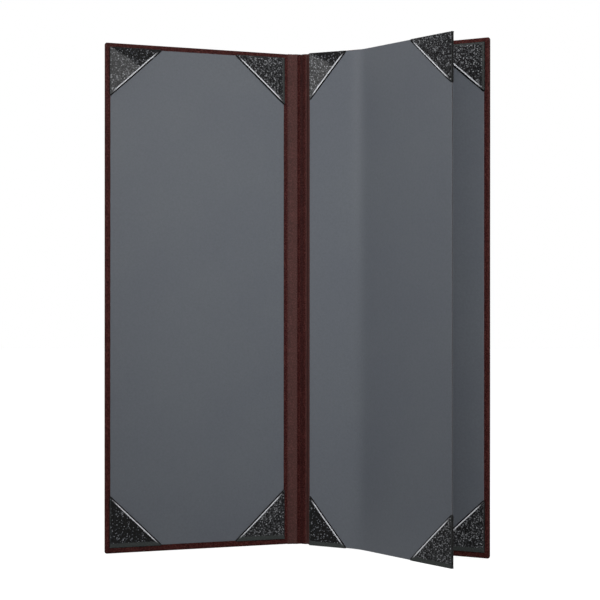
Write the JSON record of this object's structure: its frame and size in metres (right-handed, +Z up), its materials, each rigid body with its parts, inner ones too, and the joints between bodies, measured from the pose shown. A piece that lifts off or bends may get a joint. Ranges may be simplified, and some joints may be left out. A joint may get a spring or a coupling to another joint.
{
  "type": "menu cover",
  "caption": "Standing open menu cover with hinged leatherette covers, slate grey panels, black corner pockets and an inner leaf.",
  "frame": {"origin": "middle of the spine's foot, on the surface it stands on", "axes": "+Z up along the spine, -Y towards the reader, +X towards the back cover"},
  "size_m": [0.2286, 0.0778, 0.3048],
  "materials": {
    "burgundy_leatherette": "fine grained burgundy leatherette, satin",
    "burgundy_lining": "fine grained burgundy leatherette, satin",
    "grey_liner": "smooth slate grey coated sheet, low sheen",
    "black_corner": "pebble grained black leatherette, satin",
    "chipboard": "raw grey board",
    "dark_card": "dark card, cut edge"
  },
  "bodies": {
    "spine": {"spine_board": "chipboard", "spine_wrap": "burgundy_leatherette", "spine_lining": "burgundy_lining"},
    "front_cover": {"front_board": "chipboard", "front_wrap": "burgundy_leatherette", "front_hinge_lining": "burgundy_lining", "front_infill": "chipboard", "front_liner": "grey_liner", "front_pocket_lower_inner": "black_corner", "front_pocket_upper_inner": "black_corner", "front_pocket_lower_outer": "black_corner", "front_pocket_upper_outer": "black_corner"},
    "back_cover": {"back_board": "chipboard", "back_wrap": "burgundy_leatherette", "back_hinge_lining": "burgundy_lining", "back_infill": "chipboard", "back_liner": "grey_liner", "leaf_flap": "grey_liner", "leaf_hinge_cloth": "burgundy_lining", "back_pocket_lower_inner": "black_corner", "back_pocket_upper_inner": "black_corner", "back_pocket_lower_outer": "black_corner", "back_pocket_upper_outer": "black_corner", "leaf_pocket_lower_inner": "black_corner", "leaf_pocket_upper_inner": "black_corner"},
    "leaf": {"leaf_board": "dark_card", "leaf_front_facing": "grey_liner", "leaf_back_facing": "grey_liner", "leaf_pocket_lower_outer": "black_corner", "leaf_pocket_upper_outer": "black_corner"}
  },
  "joints": [
    {"name": "front_cover_hinge", "type": "hinge", "parent": "spine", "child": "front_cover", "pos_m": [-0.00435, -0.00115, 0.1524], "axis": [0, 0, 1], "range_deg": [-16.4, 73.6]},
    {"name": "back_cover_hinge", "type": "hinge", "parent": "spine", "child": "back_cover", "pos_m": [0.00435, -0.00115, 0.1524], "axis": [0, 0, -1], "range_deg": [-24.1, 65.9]},
    {"name": "leaf_bend", "type": "hinge", "parent": "back_cover", "child": "leaf", "pos_m": [0.03657, -0.01923, 0.1524], "axis": [0, 0, 1], "range_deg": [-5.6, 25.1]}
  ],
  "couplings": [
    {"joint": "leaf_bend", "follows": "front_cover_hinge", "ratio": 0.341}
  ]
}
